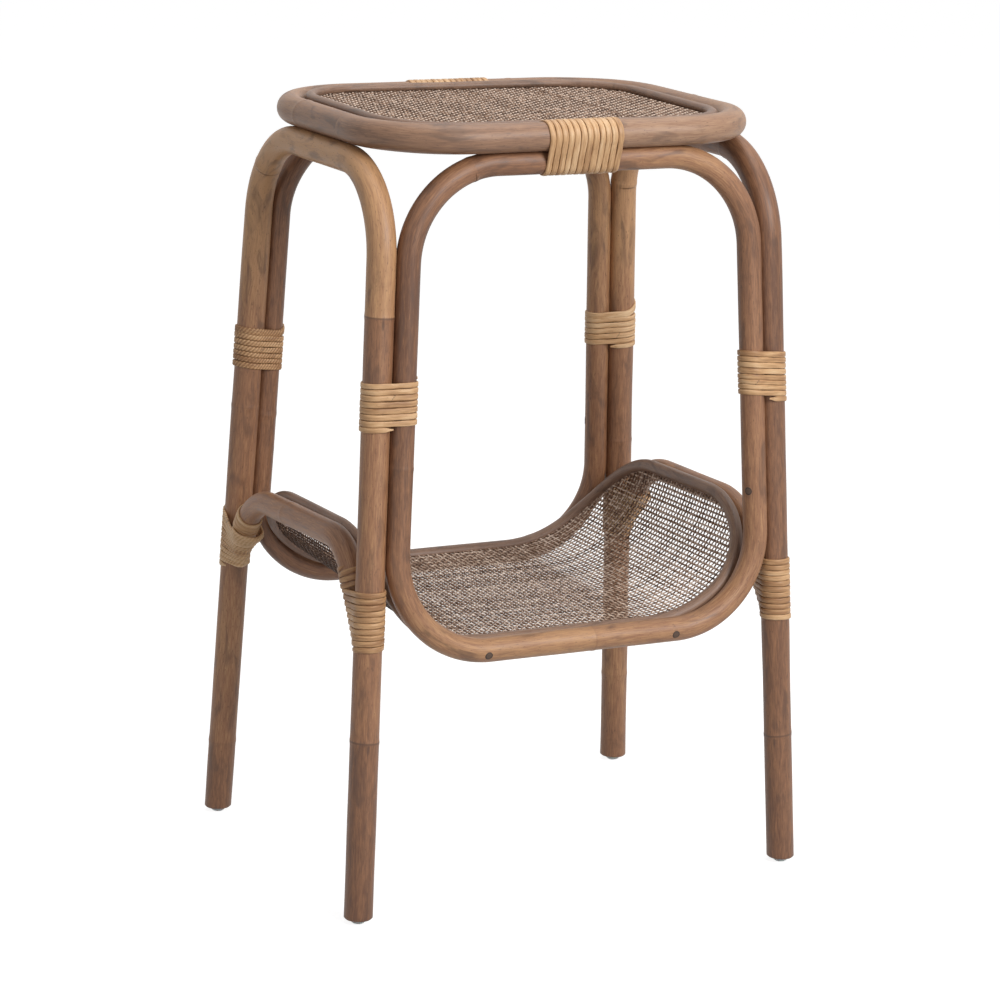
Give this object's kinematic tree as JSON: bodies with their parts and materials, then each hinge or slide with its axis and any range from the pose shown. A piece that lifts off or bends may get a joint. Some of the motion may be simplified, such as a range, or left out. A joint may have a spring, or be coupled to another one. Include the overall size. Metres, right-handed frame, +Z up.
{
  "type": "rattan side table",
  "caption": "Tall side table of bent rattan poles with a ring-framed woven top, splayed legs, peel lashings and a hanging U-shaped woven shelf.",
  "frame": {"origin": "on the floor under the middle of the table", "axes": "+Z up, +X along the long side of the top, -Y towards the front"},
  "size_m": [0.4548, 0.3564, 0.6989],
  "materials": {
    "stained_rattan": "satin brown stain",
    "weathered_rattan": "satin greyed brown stain",
    "woven_rattan": "matte woven strands",
    "rattan_peel": "satin natural peel",
    "plywood": "matte",
    "dark_plug": "matte dark filler",
    "steel": "zinc",
    "clear_plastic": "milky"
  },
  "bodies": {
    "root": {"left_leg_arch": "stained_rattan", "right_leg_arch": "stained_rattan", "front_loop": "stained_rattan", "back_loop": "stained_rattan", "left_stretcher": "stained_rattan", "right_stretcher": "stained_rattan", "top_ring": "weathered_rattan", "top_trim": "weathered_rattan", "shelf_rim": "weathered_rattan", "top_mat": "woven_rattan", "shelf_mat": "woven_rattan", "top_board": "plywood", "front_top_lashing": "rattan_peel", "back_top_lashing": "rattan_peel", "front_left_mid_lashing": "rattan_peel", "front_right_mid_lashing": "rattan_peel", "back_left_mid_lashing": "rattan_peel", "back_right_mid_lashing": "rattan_peel", "front_left_low_lashing": "rattan_peel", "front_right_low_lashing": "rattan_peel", "back_left_low_lashing": "rattan_peel", "back_right_low_lashing": "rattan_peel", "front_left_glide": "clear_plastic", "front_right_glide": "clear_plastic", "back_left_glide": "clear_plastic", "back_right_glide": "clear_plastic", "plugged_screws": "steel", "ring_screws": "steel", "stretcher_nails": "steel", "rim_nails": "steel", "board_nails": "steel", "trim_brads": "steel", "glide_nails": "steel", "screw_plugs": "dark_plug"}
  },
  "joints": []
}
